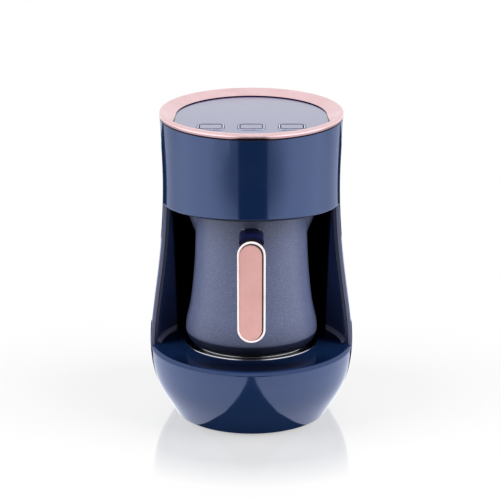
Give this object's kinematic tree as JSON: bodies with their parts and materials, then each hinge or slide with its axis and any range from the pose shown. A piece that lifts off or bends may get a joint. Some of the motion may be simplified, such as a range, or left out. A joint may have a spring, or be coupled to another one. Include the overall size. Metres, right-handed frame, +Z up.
{
  "type": "electric turkish coffee maker",
  "caption": "Electric Turkish coffee maker: bowl-footed body with a niche, a removable long-handled pot on a hot plate, and keys on a sloping top inside a metallic ring.",
  "frame": {"origin": "where the body's axis meets the surface it stands on", "axes": "+Z up the body's axis, -Y out of the niche towards the user, X across the front"},
  "size_m": [0.1536, 0.1535, 0.2389],
  "materials": {
    "navy_gloss": "glossy lacquered navy with a fine metallic tint",
    "navy_panel": "high-gloss navy panel",
    "navy_key": "high-gloss navy key caps",
    "rose_gold": "satin rose-gold metallised trim",
    "rose_pad": "brushed rose-gold insert with a bright edge",
    "pot_coat": "satin speckled navy non-stick coat",
    "handle_black": "smooth dark heat-proof plastic",
    "chrome_trim": "polished",
    "plate_metal": "turned and coated",
    "steel": "plain",
    "black_plastic": "fine moulded grain",
    "silicone": "soft silicone",
    "foot_rubber": "soft matt rubber",
    "board_green": "circuit board with solder mask",
    "component": "moulded component body",
    "relay_case": "moulded relay case",
    "terminal": "moulded terminal block",
    "wire": "sleeved leads",
    "lamp": "clear lamp body",
    "lens": "dark sensor window"
  },
  "bodies": {
    "machine": {"body_shell": "navy_gloss", "brow_panel": "navy_gloss", "niche_liner": "navy_gloss", "deck": "navy_gloss", "niche_ceiling": "black_plastic", "control_panel": "navy_panel", "top_ring": "rose_gold", "hot_plate": "plate_metal", "plate_ring": "chrome_trim", "plate_seal": "silicone", "heating_element": "steel", "plate_bracket": "steel", "bracket_nuts": "steel", "thermostat": "component", "thermal_fuse": "steel", "base_plate": "black_plastic", "base_screws": "steel", "rubber_feet": "foot_rubber", "power_board": "board_green", "power_relay": "relay_case", "transformer": "component", "terminal_block": "terminal", "cord_bush": "silicone", "sensor_window": "lens", "boil_sensor": "component", "control_board": "board_green", "panel_screws": "steel", "key_switches": "component", "indicator_leds": "lamp", "buzzer": "component", "wire_loom": "wire"},
    "pot": {"pot_body": "pot_coat", "pot_disc": "steel", "handle_bracket": "steel", "handle_grip": "handle_black", "handle_pad": "rose_pad", "handle_screw": "steel"},
    "key_left": {"button_left": "navy_key", "plunger_left": "component"},
    "key_centre": {"button_centre": "navy_key", "plunger_centre": "component"},
    "key_right": {"button_right": "navy_key", "plunger_right": "component"}
  },
  "joints": [
    {"name": "pot_slide", "type": "slide", "parent": "machine", "child": "pot", "axis": [0, -1, 0], "range_m": [0, 0.15]},
    {"name": "key_left_press", "type": "slide", "parent": "machine", "child": "key_left", "axis": [0, 0.1582, -0.9874], "range_m": [0, 0.0006], "stiffness_N_per_m": 600},
    {"name": "key_centre_press", "type": "slide", "parent": "machine", "child": "key_centre", "axis": [0, 0.1582, -0.9874], "range_m": [0, 0.0006], "stiffness_N_per_m": 600},
    {"name": "key_right_press", "type": "slide", "parent": "machine", "child": "key_right", "axis": [0, 0.1582, -0.9874], "range_m": [0, 0.0006], "stiffness_N_per_m": 600}
  ]
}
